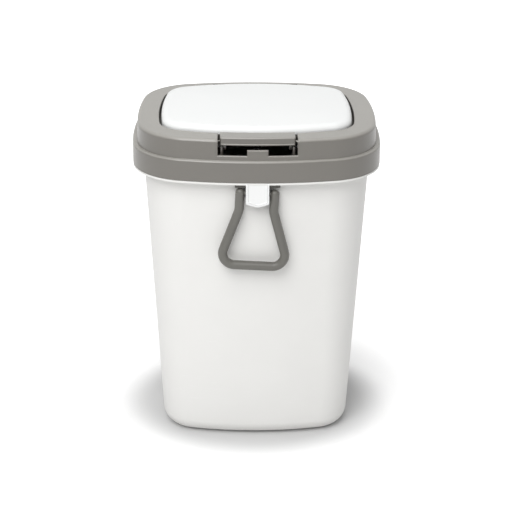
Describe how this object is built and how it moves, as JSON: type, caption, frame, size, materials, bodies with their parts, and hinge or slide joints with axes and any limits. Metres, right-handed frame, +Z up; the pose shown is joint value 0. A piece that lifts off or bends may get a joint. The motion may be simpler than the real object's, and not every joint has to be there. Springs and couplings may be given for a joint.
{
  "type": "countertop trash can",
  "caption": "Tapered countertop bin with a lift-off two-tier rim ring, a rear-hinged domed lid released by a front press bar, and a hanging carry loop.",
  "frame": {"origin": "centre of the overall box in plan, on the surface that the bin stands on", "axes": "+Z up; the front with the press bar and the loop faces -Y; +X is to the right seen from the front"},
  "size_m": [0.19, 0.16, 0.2612],
  "materials": {
    "white_body": "fine satin moulding",
    "white_lid": "fine satin moulding",
    "warm_grey": "fine satin moulding",
    "dark_grey": "smooth satin",
    "steel": "drawn bright steel",
    "rubber": "soft matte"
  },
  "bodies": {
    "bucket_body": {"bucket": "white_body", "loop_saddle": "dark_grey", "handle_tab": "white_lid"},
    "ring_body": {"lid_ring": "warm_grey", "lid_bumpers": "rubber", "hinge_pin_left": "steel", "hinge_pin_right": "steel", "hinge_spring_left": "steel", "hinge_spring_right": "steel", "press_pin_left": "steel", "press_pin_right": "steel", "press_spring": "steel"},
    "lid_body": {"lid_panel": "white_lid", "lid_inner": "warm_grey", "lid_screws": "steel"},
    "press_body": {"press_bar": "warm_grey"},
    "loop_body": {"carry_loop": "dark_grey"}
  },
  "joints": [
    {"name": "ring_lift", "type": "slide", "parent": "bucket_body", "child": "ring_body", "axis": [0, 0, 1], "range_m": [0, 0.05]},
    {"name": "lid_hinge", "type": "hinge", "parent": "ring_body", "child": "lid_body", "pos_m": [0, 0.0655, 0.25395], "axis": [-1, 0, 0], "range_deg": [0, 85]},
    {"name": "press_pivot", "type": "hinge", "parent": "ring_body", "child": "press_body", "pos_m": [0, -0.0653, 0.24765], "axis": [1, 0, 0], "range_deg": [0, 15.5], "stiffness_Nm_per_rad": 0.12, "springref_deg": -5.73, "deforming": ["press_spring"]},
    {"name": "loop_hinge", "type": "hinge", "parent": "bucket_body", "child": "loop_body", "pos_m": [0, -0.0753, 0.2153], "axis": [-0.9986, 0, 0.0523], "range_deg": [0, 95]}
  ]
}
